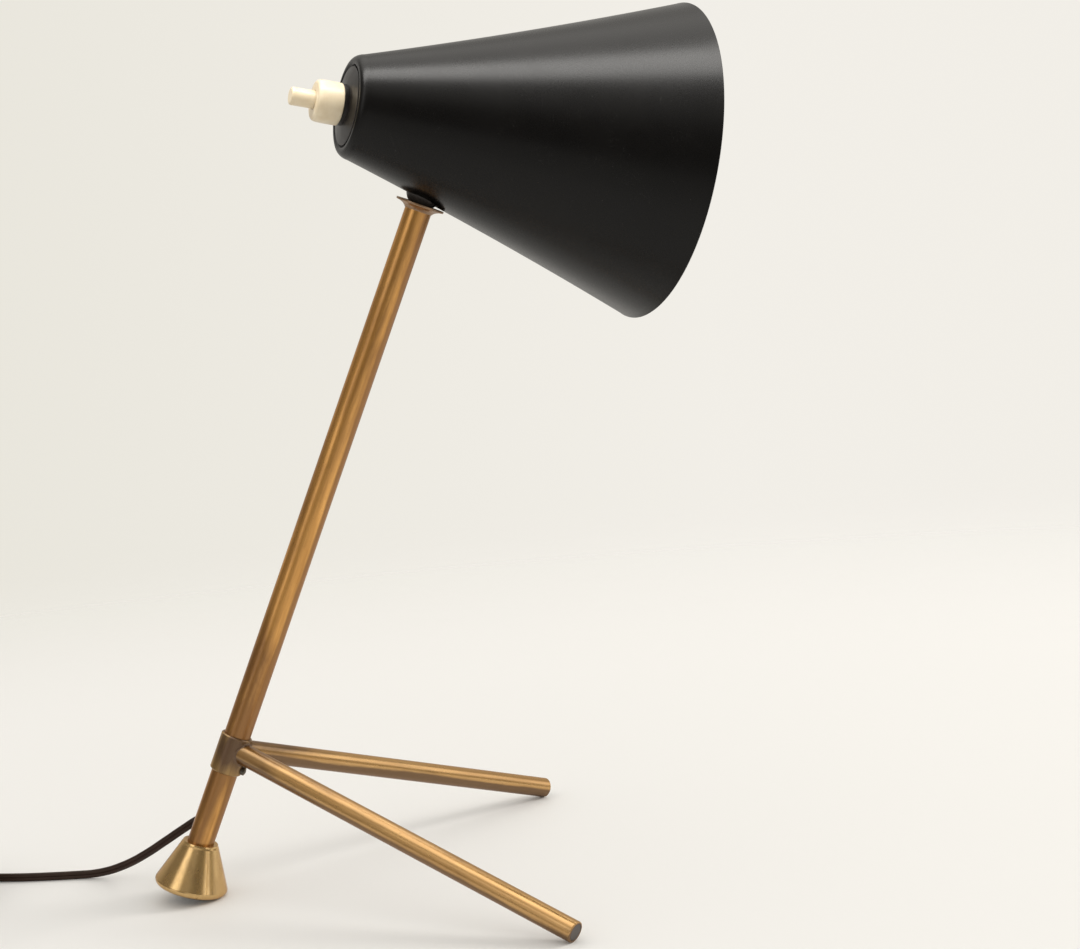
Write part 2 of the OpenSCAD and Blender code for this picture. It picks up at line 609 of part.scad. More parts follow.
module cord_free() {
    color("#3b2a20") translate([stem_x, 0, 0]) tube_along(smooth_route(free_route, 2), cord_r, 8);
}
module cord_coil() {
    color("#3b2a20") translate([stem_x, 0, 0]) tube_along(coil_path, cord_r, 6);
}
module cord_tail() {
    color("#3b2a20") translate([stem_x, 0, 0]) tube_along(smooth_route(tail_route, 2), cord_r, 8);
}
module coil_tie() {
    in_r = coil_out_r - coil_pitch * layer_turns - cord_r - 0.2;
    out_r = coil_out_r + cord_r + 0.2;
    low = coil_z - cord_r - 0.1;
    high = coil_top_z + cord_r + 0.1;
    color("#22201e") translate([stem_x + coil_x, coil_y, 0]) rotate([90, 0, -90])
        translate([0, 0, -tie_w / 2]) linear_extrude(tie_w) difference() {
            translate([in_r - tie_t, low - tie_t]) square([out_r - in_r + 2 * tie_t,
                high - low + 2 * tie_t]);
            translate([in_r, low]) square([out_r - in_r, high - low]);
        }
}
module plug_relief() {
    color("#2a211c") translate([stem_x + relief_x, plug_y, plug_z]) rotate([0, -90, 0])
        rotate_extrude($fn = 32) polygon([[0, 0], [cord_r + 0.5, 0], [cord_r + 0.7, 2],
            [cord_r + 0.9, 5], [cord_r + 0.5, 5.4], [cord_r + 0.5, 7], [cord_r + 1.2, 7.6],
            [cord_r + 1.5, 11.4], [cord_r + 0.9, 12], [cord_r + 0.9, 13.6], [cord_r + 1.8, 14.4],
            [cord_r + 2.4, relief_len], [0, relief_len]]);
}
plug_back = stem_x + relief_x - relief_len;
pin_root_r = pin_d / 2 - 0.3;
pin_root = 11.5;
module plug_body() {
    color("#2a211c") translate([plug_back, plug_y, 0]) difference() {
        linear_extrude(plug_t) polygon([[0, 6], [-3, 7.4], [-plug_len * 0.55, plug_w / 2 - 1.6],
            [-plug_len * 0.72, plug_w / 2], [-plug_len, plug_w / 2], [-plug_len, -plug_w / 2],
            [-plug_len * 0.72, -plug_w / 2], [-plug_len * 0.55, -plug_w / 2 + 1.6],
            [-3, -7.4], [0, -6]]);
        for (k = [-1, 1]) translate([-plug_len - 1, k * pin_gap / 2, plug_z]) rotate([0, 90, 0])
            cylinder(r = pin_root_r + fit, h = 13);
    }
}
module plug_pin(side) {
    color("#c9c9c4") translate([plug_back - plug_len - pin_len, plug_y + side * pin_gap / 2, plug_z])
        rotate([0, 90, 0]) rotate_extrude($fn = 32) polygon([[0, 0], [pin_d / 2 - 0.8, 0],
            [pin_d / 2 - 0.2, 0.6], [pin_d / 2, 1.4], [pin_d / 2, pin_len],
            [pin_root_r, pin_len], [pin_root_r, pin_len + pin_root], [0, pin_len + pin_root]]);
}
module plug_pin_left() { plug_pin(-1); }
module plug_pin_right() { plug_pin(1); }

stem_tube();
foot_cone();
leg_collar();
leg_near();
leg_far();
leg_plug_near();
leg_plug_far();
stem_cup();
swivel_nipple();
disc_spring();
swivel_nut();
cord_bushing();
stem_wires();
cap_washer();
swivel_ball();
shade_shell();
nose_ring();
switch_nose();
holder_nipple();
holder_nut();
holder_shell();
holder_core();
screw_shell();
centre_contact();
holder_wires();
bulb_cap();
bulb_glass();
switch_button();
cord_free();
cord_coil();
cord_tail();
coil_tie();
plug_relief();
plug_body();
plug_pin_left();
plug_pin_right();
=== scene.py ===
import math
import bpy
import bmesh
from mathutils import Matrix, Vector


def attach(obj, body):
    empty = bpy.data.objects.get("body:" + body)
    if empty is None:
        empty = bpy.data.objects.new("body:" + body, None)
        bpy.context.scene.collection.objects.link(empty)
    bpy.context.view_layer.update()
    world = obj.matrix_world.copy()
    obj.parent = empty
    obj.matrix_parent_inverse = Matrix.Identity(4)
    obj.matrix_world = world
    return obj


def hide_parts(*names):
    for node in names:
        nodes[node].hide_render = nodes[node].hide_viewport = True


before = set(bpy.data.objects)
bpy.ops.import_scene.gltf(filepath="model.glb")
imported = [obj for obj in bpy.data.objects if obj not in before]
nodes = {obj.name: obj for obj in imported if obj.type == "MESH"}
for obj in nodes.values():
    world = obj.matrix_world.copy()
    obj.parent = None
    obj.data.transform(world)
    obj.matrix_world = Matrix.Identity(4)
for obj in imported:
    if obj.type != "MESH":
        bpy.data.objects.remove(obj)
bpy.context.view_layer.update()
MM = 0.001


def rad(a):
    """Degrees to radians."""
    return math.radians(a)


# ---------------------------------------------------------------- the part's sizes, mm and degrees
# Stem: its lean, where its axis meets the table, the ball's place along it, its radius and its cord hole.
LEAN, STEM_X, BALL_S = 24.2, -130.019, 338.6
STEM_R, CORD_S, CORD_TURN = 6.0, 34.4, 75.0
# Shade: its turn and lift at rest, the ball's place along it, its cone, the ball and the rear end.
SHADE_PAN, SHADE_LIFT, BALL_X = 16.2, 9.2, 41.4
SHADE_LEN, MOUTH_R, REAR_R, SAG, WALL = 146.0, 71.5, 21.6, 1.3, 1.0
BALL_R, BALL_DROP, BALL_GAP = 8.0, 3.6, 0.15
SHOULDER, LIP_R, RECESS, THREAD_R = 4.4, 18.6, 1.5, 5.05
# Switch nose and its button.
NOSE_R, NOSE_X, NOSE_LEN, NOSE_FRONT, BUTTON_R = 9.25, -3.2, 11.5, 3.7, 3.9
# Flex: its diameter, its coil, the coil's tie and the plug's relief.
CORD_D, COIL_R, COIL_PITCH, COIL_RISE, COIL_TURNS = 3.9, 29.25, 5.0, 4.4, 10
COIL_X, COIL_Y, COIL_START, LAYERS = -124.0, 34.0, 75.0, 4
TIE_T, TIE_GAP = 0.8, 0.2
RELIEF_X, PLUG_Y, PLUG_Z = -178.0, 71.0, 6.85
# Legs and the collar at their joint, then the foot.
LEG_S, LEG_R, TOE_X, TOE_Y, TOE_Z = 73.9, 4.8, 173.0, 111.6, 4.75
COLLAR_R = 7.2
FOOT_X, FOOT_Z, FOOT_LEAN = 4.677, 4.505, 18.0


def side_r(x):
    """Outer radius of the shade's cone at x from its rear end."""
    t = x / SHADE_LEN
    return REAR_R + (MOUTH_R - REAR_R) * t - 4 * SAG * t * (1 - t)


def side_angle(x):
    """Slope of the cone's side at x, in radians."""
    return math.atan(side_r(x + 0.5) - side_r(x - 0.5))


SIDE_A = side_angle(BALL_X)
SEAT_X = BALL_X - BALL_DROP * math.sin(SIDE_A)
BALL_Z = side_r(SEAT_X) - BALL_DROP * math.cos(SIDE_A)
WALL_OUT = WALL / math.cos(SIDE_A)
SWING = math.degrees(SIDE_A) - SHADE_LIFT
BALL_HOLE_R = math.sqrt(BALL_R ** 2 - (BALL_DROP - WALL) ** 2) + BALL_GAP


def T(x, y, z):
    """A move in mm."""
    return Matrix.Translation((x * MM, y * MM, z * MM))


def R(a, axis):
    """A turn in degrees."""
    return Matrix.Rotation(rad(a), 4, axis)


def stem_m(s):
    """Place on the stem's axis, s mm from the table, with z along the stem."""
    return T(STEM_X, 0, 0) @ R(LEAN, "Y") @ T(0, 0, s)


SHADE_M = stem_m(BALL_S) @ R(SHADE_PAN, "Z") @ R(-SHADE_LIFT, "Y") @ T(-BALL_X, 0, BALL_Z)
SHADE_AXIS = SHADE_M @ R(90, "Y")
BALL_M = stem_m(BALL_S) @ R(SHADE_PAN, "Z") @ R(SWING, "Y")

STEM_DIR = Vector((math.sin(rad(LEAN)), 0, math.cos(rad(LEAN))))
LEG_TOP = Vector((STEM_X, 0, 0)) + LEG_S * STEM_DIR


def leg_dir(side):
    """Direction of a leg from the joint to its toe: side -1 is the near leg and 1 the far one."""
    return (Vector((STEM_X + TOE_X, side * TOE_Y, TOE_Z)) - LEG_TOP).normalized()


# ---------------------------------------------------------------- camera, fitted to the photograph
CAM_POS = (0.002864, -1.061320, 0.332756)
YAW, PITCH, ROLL = 0.043375, -0.143404, -0.083604
LENS, SENSOR = 79.97, 36
CLIP = (0.02, 50)


def make_camera():
    cam = bpy.data.objects.new("camera", bpy.data.cameras.new("camera"))
    bpy.context.scene.collection.objects.link(cam)
    bpy.context.scene.camera = cam
    fw = Vector((math.sin(YAW) * math.cos(PITCH), math.cos(YAW) * math.cos(PITCH), math.sin(PITCH)))
    right = Vector((math.cos(YAW), -math.sin(YAW), 0))
    up = right.cross(fw)
    r2 = right * math.cos(ROLL) + up * math.sin(ROLL)
    u2 = up * math.cos(ROLL) - right * math.sin(ROLL)
    m = Matrix((r2, u2, -fw)).transposed().to_4x4()
    cam.matrix_world = Matrix.Translation(CAM_POS) @ m
    cam.data.sensor_width = SENSOR
    cam.data.lens = LENS
    cam.data.clip_start, cam.data.clip_end = CLIP


make_camera()


# ---------------------------------------------------------------- mesh tools
ARC_STEP = 12


def mesh_of(name, verts, faces, mats, face_mat=None, smooth=35, matrix=None):
    """An object from points in metres. Edges of more than smooth degrees stay sharp."""
    me = bpy.data.meshes.new(name)
    me.from_pydata([tuple(v) for v in verts], [], faces)
    bm = bmesh.new()
    bm.from_mesh(me)
    bmesh.ops.recalc_face_normals(bm, faces=bm.faces)
    bm.to_mesh(me)
    bm.free()
    if matrix is not None:
        me.transform(matrix)
    me.validate()
    ob = bpy.data.objects.new(name, me)
    bpy.context.scene.collection.objects.link(ob)
    for m in mats:
        me.materials.append(m)
    me.polygons.foreach_set("use_smooth", [True] * len(me.polygons))
    me.set_sharp_from_angle(angle=rad(smooth))
    if face_mat:
        me.polygons.foreach_set("material_index", face_mat)
    return ob


def rounded(points):
    """Profile points (r, z), or (r, z, fillet radius) between two others, with the fillets as arcs."""
    out = []
    for i, p in enumerate(points):
        v = Vector(p[:2])
        if len(p) == 2:
            out.append(tuple(v))
            continue
        a = (Vector(points[i - 1][:2]) - v).normalized()
        b = (Vector(points[i + 1][:2]) - v).normalized()
        half = a.angle(b) / 2
        d = p[2] / math.tan(half)
        c = v + (a + b).normalized() * (p[2] / math.sin(half))
        s, e = v + a * d - c, v + b * d - c
        turn = s.angle_signed(e)
        steps = max(2, int(abs(turn) / rad(ARC_STEP)) + 1)
        for k in range(steps + 1):
            out.append(tuple(c + Matrix.Rotation(-turn * k / steps, 2) @ s))
    return out


def lathe(name, points, matrix, mats, seg, closed=False, seg_mat=None, smooth=35):
    """Turns a profile in mm about the matrix's z axis. seg_mat gives a material index by segment."""
    verts, faces, face_mat, rows = [], [], [], []
    for r, z in points:
        if r < 1e-6:
            rows.append([len(verts)])
            verts.append((0, 0, z * MM))
        else:
            rows.append(list(range(len(verts), len(verts) + seg)))
            for k in range(seg):
                a = 2 * math.pi * k / seg
                verts.append((r * MM * math.cos(a), r * MM * math.sin(a), z * MM))
    n = len(rows)
    for i in range(n if closed else n - 1):
        a, b = rows[i], rows[(i + 1) % n]
        for k in range(seg):
            nxt = (k + 1) % seg
            if len(a) == 1:
                faces.append((a[0], b[nxt], b[k]))
            elif len(b) == 1:
                faces.append((a[k], a[nxt], b[0]))
            else:
                faces.append((a[k], a[nxt], b[nxt], b[k]))
            face_mat.append(seg_mat(i) if seg_mat else 0)
    return mesh_of(name, verts, faces, mats, face_mat, smooth, matrix)


def cut(ob, cutter):
    """Takes the cutter out of an object for good."""
    mod = ob.modifiers.new("cut", "BOOLEAN")
    mod.operation, mod.solver, mod.object = "DIFFERENCE", "EXACT", cutter
    dg = bpy.context.evaluated_depsgraph_get()
    me = bpy.data.meshes.new_from_object(ob.evaluated_get(dg))
    ob.modifiers.remove(mod)
    old = ob.data
    ob.data = me
    bpy.data.meshes.remove(old)
    bpy.data.objects.remove(cutter)


# ---------------------------------------------------------------- node tools
def material(name):
    """A material with its node tree and shader."""
    m = bpy.data.materials.new(name)
    m.use_nodes = True
    nt = m.node_tree
    return m, nt, nt.nodes["Principled BSDF"]


def add(nt, kind, ins=None, **props):
    """A node with its own settings, each input linked to a socket or set to a value."""
    nd = nt.nodes.new(kind)
    for k, v in props.items():
        setattr(nd, k, v)
    for k, v in (ins or {}).items():
        if isinstance(v, bpy.types.NodeSocket):
            nt.links.new(v, nd.inputs[k])
        else:
            nd.inputs[k].default_value = v
    return nd


def coords(nt, rotation=(0, 0, 0), scale=(1, 1, 1), origin=(0, 0, 0)):
    """Object coordinates, moved to origin, turned so that the piece's own axis is z, then scaled."""
    tc = add(nt, "ShaderNodeTexCoord")
    back = add(nt, "ShaderNodeVectorMath", {0: tc.outputs["Object"], 1: origin}, operation="SUBTRACT")
    turn = add(nt, "ShaderNodeMapping", {"Vector": back.outputs[0], "Rotation": rotation})
    size = add(nt, "ShaderNodeVectorMath", {0: turn.outputs[0], 1: scale}, operation="MULTIPLY")
    return size.outputs[0]


def noise(nt, vec, scale, detail=3, rough=0.55, dist=0):
    return add(nt, "ShaderNodeTexNoise", {"Vector": vec, "Scale": scale, "Detail": detail,
                                          "Roughness": rough, "Distortion": dist}).outputs["Fac"]


def ramp(nt, fac, stops):
    nd = add(nt, "ShaderNodeValToRGB", {"Fac": fac})
    el = nd.color_ramp.elements
    while len(el) < len(stops):
        el.new(0.5)
    for e, (pos, col) in zip(el, stops):
        e.position = pos
        e.color = (*col, 1)
    return nd.outputs["Color"]


def mix(nt, fac, a, b):
    """Blend of two colours, each a socket or three numbers."""
    a, b = (v if isinstance(v, bpy.types.NodeSocket) else (*v, 1) for v in (a, b))
    return add(nt, "ShaderNodeMix", {0: fac, 6: a, 7: b}, data_type="RGBA").outputs[2]


def math_(nt, op, a, b=0.0):
    return add(nt, "ShaderNodeMath", {0: a, 1: b}, operation=op).outputs[0]


def map_range(nt, v, a, b, c, d, kind="LINEAR"):
    """Maps v from the range a to b onto c to d."""
    return add(nt, "ShaderNodeMapRange", {"Value": v, "From Min": a, "From Max": b, "To Min": c,
                                          "To Max": d}, interpolation_type=kind).outputs[0]


def near_way(nt, vec, way, inner, outer):
    """1 within inner degrees of a direction, 0 outside outer degrees."""
    dot = add(nt, "ShaderNodeVectorMath", {0: vec, 1: way}, operation="DOT_PRODUCT")
    return map_range(nt, dot.outputs["Value"], math.cos(rad(outer)), math.cos(rad(inner)), 0, 1,
                     "SMOOTHSTEP")


def bump(nt, height, strength, distance, normal=None):
    nd = add(nt, "ShaderNodeBump", {"Height": height, "Strength": strength, "Distance": distance})
    if normal is not None:
        nt.links.new(normal, nd.inputs["Normal"])
    return nd.outputs[0]


# ---------------------------------------------------------------- materials
# Brass: tint of its sheen at grazing angles, weight of the clear film, and the film's share of roughness.
GRAZE_TINT, FILM, FILM_ROUGH = (0.66, 0.44, 0.24, 1), 0.6, 0.55
# Heat stains: full up to this distance from the legs' joint in mm, and how much they add there.
BURN_FULL, BURN_DEPTH = 6, 0.2


def brass(name, euler, tones, amount, film, rough=(0.32, 0.44), metal=0.85, turned=False, burn=0,
          underside_shade=None):
    """Aged brass in three tones, bright, dark and a tone for stains: streaks along the tube, clouds, small
    spots, and drawn or turned marks. The tone for stains also paints shade on the undersides.

    euler turns the piece's axis to z, amount is how far the stains spread, and film the index of the clear
    film on it. rough is the roughness where it is clean and where stains are full, and metal the share of
    bare
    metal. burn is how far in mm heat stains spread from the legs' joint. underside_shade is painted shade:
    how much darker the underside is made, and the heights of the normal between which that comes in.
    """
    bright, dark, stain_and_shade_tone = tones
    m, nt, p = material(name)
    streak = noise(nt, coords(nt, euler, (1, 1, 0.05)), 420, 4, 0.6)
    cloud = noise(nt, coords(nt, euler, (1, 1, 0.3)), 60, 5, 0.62, 0.5)
    blotch = noise(nt, coords(nt, euler, (1, 1, 0.12)), 170, 3, 0.5, 0.3)
    spots = noise(nt, coords(nt, euler), 900, 3, 0.6)
    stain_and_shade_mask = math_(nt, "ADD", math_(nt, "MULTIPLY", cloud, 0.6), math_(nt, "MULTIPLY", blotch, 0.4))
    if burn:
        tc = add(nt, "ShaderNodeTexCoord")
        far = add(nt, "ShaderNodeVectorMath", {0: tc.outputs["Object"], 1: tuple(LEG_TOP * MM)},
                  operation="DISTANCE").outputs["Value"]
        heat = map_range(nt, far, BURN_FULL * MM, burn * MM, BURN_DEPTH, 0)
        stain_and_shade_mask = math_(nt, "ADD", stain_and_shade_mask, heat)
    # Painted shade: where the normal points down, the underside takes more of the tone for stains.
    if underside_shade:
        facing = add(nt, "ShaderNodeSeparateXYZ", {0: add(nt, "ShaderNodeNewGeometry").outputs["Normal"]})
        low = map_range(nt, facing.outputs["Z"], underside_shade[1], underside_shade[2], 0, underside_shade[0])
        stain_and_shade_mask = math_(nt, "ADD", stain_and_shade_mask, low)
    base = mix(nt, map_range(nt, streak, 0.35, 0.7, 0, 1), bright, dark)
    start, end = 0.62 - 0.3 * amount, 0.84 - 0.3 * amount
    base = mix(nt, map_range(nt, stain_and_shade_mask, start, end, 0, 0.88), base, stain_and_shade_tone)
    base = mix(nt, map_range(nt, spots, 0.66, 0.74, 0, 0.45), base, stain_and_shade_tone)
    nt.links.new(base, p.inputs["Base Color"])
    p.inputs["Metallic"].default_value = metal
    p.inputs["Specular Tint"].default_value = GRAZE_TINT
    p.inputs["Coat Weight"].default_value = FILM
    p.inputs["Coat IOR"].default_value = film
    r = math_(nt, "ADD", map_range(nt, stain_and_shade_mask, 0.35, 0.7, rough[0], rough[1]),
              map_range(nt, streak, 0.3, 0.7, -0.04, 0.05))
    nt.links.new(r, p.inputs["Roughness"])
    nt.links.new(math_(nt, "MULTIPLY", r, FILM_ROUGH), p.inputs["Coat Roughness"])
    grain = (0.02, 0.02, 1) if turned else (1, 1, 0.03)
    lines = noise(nt, coords(nt, euler, grain), 5200 if turned else 2600, 2, 0.5)
    n = bump(nt, lines, 0.2, 0.00004)
    n = bump(nt, cloud, 0.04, 0.0004, n)
    nt.links.new(n, p.inputs["Normal"])
    nt.links.new(n, p.inputs["Coat Normal"])
    return m


SUB_RADIUS = (0.004, 0.003, 0.002)


def plastic(name, light, dark, rough, scale, grain=1500, depth=0.00003, coat=0.0, sub=0.0, shine=0.5):
    """Plastic, rubber, plain paint, or the dark pad of painted shadow: two tones in clouds of a scale, and
    a fine grain of a depth.
    """
    m, nt, p = material(name)
    v = coords(nt)
    cloud = noise(nt, v, scale, 4)
    nt.links.new(mix(nt, map_range(nt, cloud, 0.3, 0.7, 0, 1), light, dark), p.inputs["Base Color"])
    nt.links.new(map_range(nt, cloud, 0.3, 0.7, rough - 0.05, rough + 0.07), p.inputs["Roughness"])
    nt.links.new(bump(nt, noise(nt, v, grain, 2), 0.25, depth), p.inputs["Normal"])
    p.inputs["Coat Weight"].default_value = coat
    p.inputs["Specular IOR Level"].default_value = shine
    if sub:
        p.inputs["Subsurface Weight"].default_value = sub
        p.inputs["Subsurface Radius"].default_value = SUB_RADIUS
    return m


def steel(name, colour, rough):
    """Plain metal, slightly clouded."""
    m, nt, p = material(name)
    c = noise(nt, coords(nt), 200, 4)
    nt.links.new(mix(nt, map_range(nt, c, 0.35, 0.7, 0, 1), colour, tuple(0.75 * x for x in colour)),
                 p.inputs["Base Color"])
    nt.links.new(map_range(nt, c, 0.3, 0.7, rough, rough + 0.12), p.inputs["Roughness"])
    p.inputs["Metallic"].default_value = 1
    return m


# Black paint: its two tones, dust, and hairline scratches in three directions, each with a scale.
PAINT_TONES = ((0.0020, 0.0018, 0.0016), (0.0034, 0.0030, 0.0026))
DUST, SCRATCH = (0.12, 0.115, 0.11), (0.10, 0.095, 0.09)
HAIRLINES = (((0.2, 0.5, 1.1), 60), ((1.3, 0.4, 0.3), 50), ((0.7, 1.4, 2.0), 70))


def shade_paint(name):
    """Satin black paint on spun metal: orange peel, faint spinning rings, dust and hairline scratches."""
    m, nt, p = material(name)
    eul = tuple(SHADE_M.inverted().to_euler("XYZ"))
    centre = tuple(SHADE_M.translation)
    v = coords(nt, eul, origin=centre)
    cloud = noise(nt, v, 26, 5, 0.6)
    fine = noise(nt, v, 2200, 3, 0.7)
    peel = noise(nt, v, 700, 2, 0.5)
    rings = noise(nt, coords(nt, eul, (1, 0.01, 0.01), centre), 900, 2, 0.5)
    col = mix(nt, map_range(nt, cloud, 0.3, 0.75, 0, 1), *PAINT_TONES)
    dust = map_range(nt, fine, 0.74, 0.82, 0, 0.12)
    col = mix(nt, dust, col, DUST)
    p.inputs["Specular IOR Level"].default_value = 0.2
    hair = None
    for rot, scale in HAIRLINES:
        h = noise(nt, coords(nt, rot, (1, 0.035, 1)), scale * 9, 1, 0.5)
        h = map_range(nt, math_(nt, "ABSOLUTE", math_(nt, "SUBTRACT", h, 0.5)), 0.0, 0.0022, 1, 0)
        patch = map_range(nt, noise(nt, coords(nt, rot), scale, 2), 0.6, 0.68, 0, 1)
        h = math_(nt, "MULTIPLY", h, patch)
        hair = h if hair is None else math_(nt, "MAXIMUM", hair, h)
    col = mix(nt, math_(nt, "MULTIPLY", hair, 0.35), col, SCRATCH)
    nt.links.new(col, p.inputs["Base Color"])
    r = math_(nt, "ADD", map_range(nt, cloud, 0.3, 0.7, 0.25, 0.31),
              map_range(nt, fine, 0.4, 0.7, -0.02, 0.05))
    nt.links.new(r, p.inputs["Roughness"])
    n = bump(nt, peel, 0.10, 0.00005)
    n = bump(nt, rings, 0.10, 0.00004, n)
    nt.links.new(n, p.inputs["Normal"])
    return m


def opal(name):
    """The bulb's white glass."""
    m, nt, p = material(name)
    c = noise(nt, coords(nt), 40, 2)
    nt.links.new(mix(nt, c, (0.92, 0.91, 0.88), (0.86, 0.85, 0.81)), p.inputs["Base Color"])
    p.inputs["Roughness"].default_value = 0.18
    p.inputs["Transmission Weight"].default_value = 0.25
    p.inputs["IOR"].default_value = 1.5
    p.inputs["Coat Weight"].default_value = 0.4
    return m


# Turns that bring the axis of the stem, the foot and each leg to z.
STEM_E = (0, rad(-LEAN), 0)
FOOT_E = (0, rad(-FOOT_LEAN), 0)
LEG_E = {side: tuple(leg_dir(side).rotation_difference(Vector((0, 0, 1))).to_euler("XYZ"))
         for side in (-1, 1)}
# Brass, each bright, dark, and a tone for stains, which also paints shade on the undersides.
STEM_TONES = ((0.76, 0.390, 0.105), (0.48, 0.225, 0.048), (0.25, 0.112, 0.030))
LEG_TONES = ((0.60, 0.350, 0.120), (0.46, 0.245, 0.072), (0.12, 0.058, 0.018))
FOOT_TONES = ((0.62, 0.400, 0.150), (0.54, 0.335, 0.115), (0.36, 0.215, 0.080))
JOINT_TONES = ((0.46, 0.290, 0.105), (0.32, 0.190, 0.065), (0.095, 0.050, 0.030))
CUP_TONES = ((0.30, 0.175, 0.085), (0.21, 0.118, 0.055), (0.11, 0.060, 0.032))
SCREW_TONES = ((0.10, 0.085, 0.055), (0.07, 0.060, 0.042), (0.04, 0.035, 0.027))
INNER_TONES = ((0.62, 0.44, 0.20), (0.52, 0.36, 0.155), (0.3, 0.19, 0.09))
# Painted shade: how much darker the undersides of the stem and the legs are made, and the normal's heights
# between which it comes in.
STEM_UNDERSIDE_SHADE, LEG_UNDERSIDE_SHADE = (0.5, -0.22, -0.36), (0.42, 0.05, -0.4)

M = {}
M["stem"] = brass("brass_stem", STEM_E, STEM_TONES, 0.5, 1.55, (0.27, 0.38), burn=95, underside_shade=STEM_UNDERSIDE_SHADE)
M["leg_near"] = brass("brass_leg_near", LEG_E[-1], LEG_TONES, 0.35, 1.75, (0.24, 0.36), burn=35,
                      underside_shade=LEG_UNDERSIDE_SHADE)
M["leg_far"] = brass("brass_leg_far", LEG_E[1], LEG_TONES, 0.4, 1.75, (0.24, 0.36), burn=50,
                     underside_shade=LEG_UNDERSIDE_SHADE)
M["foot"] = brass("brass_foot", FOOT_E, FOOT_TONES, 0.35, 1.8, (0.20, 0.28), turned=True)
M["collar"] = brass("brass_collar", STEM_E, JOINT_TONES, 0.5, 1.5, burn=13)
M["braze"] = brass("brass_braze", STEM_E, JOINT_TONES, 0.7, 1.6, burn=14)
M["cup"] = brass("brass_cup", STEM_E, CUP_TONES, 0.5, 1.8, turned=True)
M["screw"] = brass("brass_screw", STEM_E, SCREW_TONES, 0.6, 1.6)
M["brass"] = brass("brass_plain", STEM_E, INNER_TONES, 0.3, 1.5, metal=0.9)
M["paint"] = shade_paint("shade_black_paint")
M["white"] = plastic("shade_white_paint", (0.84, 0.825, 0.79), (0.79, 0.77, 0.73), 0.45, 30, 900,
                     0.00004)
M["ivory"] = plastic("ivory_plastic", (0.70, 0.60, 0.43), (0.62, 0.51, 0.34), 0.36, 180, depth=0.00002,
                     coat=0.1, sub=0.06)
M["cream"] = plastic("cream_holder", (0.74, 0.67, 0.50), (0.66, 0.58, 0.41), 0.38, 120, depth=0.00002,
                     coat=0.1)
M["black"] = plastic("black_plastic", (0.025, 0.020, 0.017), (0.04, 0.032, 0.026), 0.42, 160)
M["ring"] = plastic("ring_black", (0.010, 0.008, 0.007), (0.017, 0.014, 0.012), 0.34, 160, shine=0.35)
M["rubber"] = plastic("toe_rubber", (0.055, 0.045, 0.040), (0.09, 0.075, 0.065), 0.5, 260, 1200,
                      0.00005)
M["cord"] = plastic("cord_brown", (0.036, 0.017, 0.010), (0.025, 0.012, 0.007), 0.5, 150, 1800,
                    shine=0.25)
M["plug"] = plastic("plug_brown", (0.040, 0.024, 0.018), (0.030, 0.018, 0.013), 0.42, 120, 1400,
                    0.00004)
# Painted shadow: a dark matte pad under the foot that darkens the gap between the foot and the floor.
M["felt"] = plastic("felt_pad", (0.020, 0.014, 0.012), (0.035, 0.026, 0.022), 0.9, 900, 2600,
                    0.0001)
M["wire"] = plastic("wire_cover", (0.08, 0.05, 0.035), (0.06, 0.037, 0.026), 0.45, 160)
M["spring"] = steel("spring_steel", (0.5, 0.5, 0.51), 0.25)
M["cap"] = steel("cap_metal", (0.72, 0.72, 0.70), 0.3)
M["pin"] = steel("pin_metal", (0.75, 0.73, 0.68), 0.18)
M["opal"] = opal("opal_glass")

NODE_MAT = {
    "stem_tube": "stem", "foot_cone": "foot", "leg_collar": "collar",
    "leg_near": "leg_near", "leg_far": "leg_far",
    "leg_plug_near": "rubber", "leg_plug_far": "rubber", "stem_cup": "cup", "swivel_nipple": "brass",
    "disc_spring": "spring", "swivel_nut": "brass", "cord_bushing": "black", "stem_wires": "wire",
    # Painted shade: the swivel ball takes the black plastic, so that the gap between the cup's rim and the
    # shade reads dark.
    "cap_washer": "brass", "swivel_ball": "black", "shade_shell": "paint", "nose_ring": "ring",
    "switch_nose": "ivory", "holder_nipple": "brass", "holder_nut": "brass", "holder_shell": "cream",
    "holder_core": "cream", "screw_shell": "brass", "centre_contact": "brass", "holder_wires": "wire",
    "bulb_cap": "cap", "bulb_glass": "opal", "switch_button": "ivory", "cord_free": "cord",
    "cord_coil": "cord", "cord_tail": "cord", "coil_tie": "black", "plug_relief": "plug",
    "plug_body": "plug", "plug_pin_left": "pin", "plug_pin_right": "pin"}
for node, key in NODE_MAT.items():
    me = nodes[node].data
    me.materials.clear()
    me.materials.append(M[key])

# ---------------------------------------------------------------- cord
COIL_Z = CORD_D / 2 + TIE_T + TIE_GAP
LAYER_TURNS = COIL_TURNS / LAYERS
# Steps of the route in a turn of the coil, and between two of its points elsewhere.
TURN_STEPS, POINT_STEPS = 48, 6
# The flex's two cores: radius, and straight pieces around each.
CORE_R, CORE_STEPS = 1.08, 12
FLEX_SMOOTH = 50
# Direction out of the stem's hole, and the place just outside it from the stem's foot.
lean, turn = rad(LEAN), rad(CORD_TURN)
EXIT_DIR = Vector((-math.cos(lean) * math.cos(turn), math.sin(turn), math.sin(lean) * math.cos(turn)))
EXIT = CORD_S * STEM_DIR + (STEM_R + 1) * EXIT_DIR


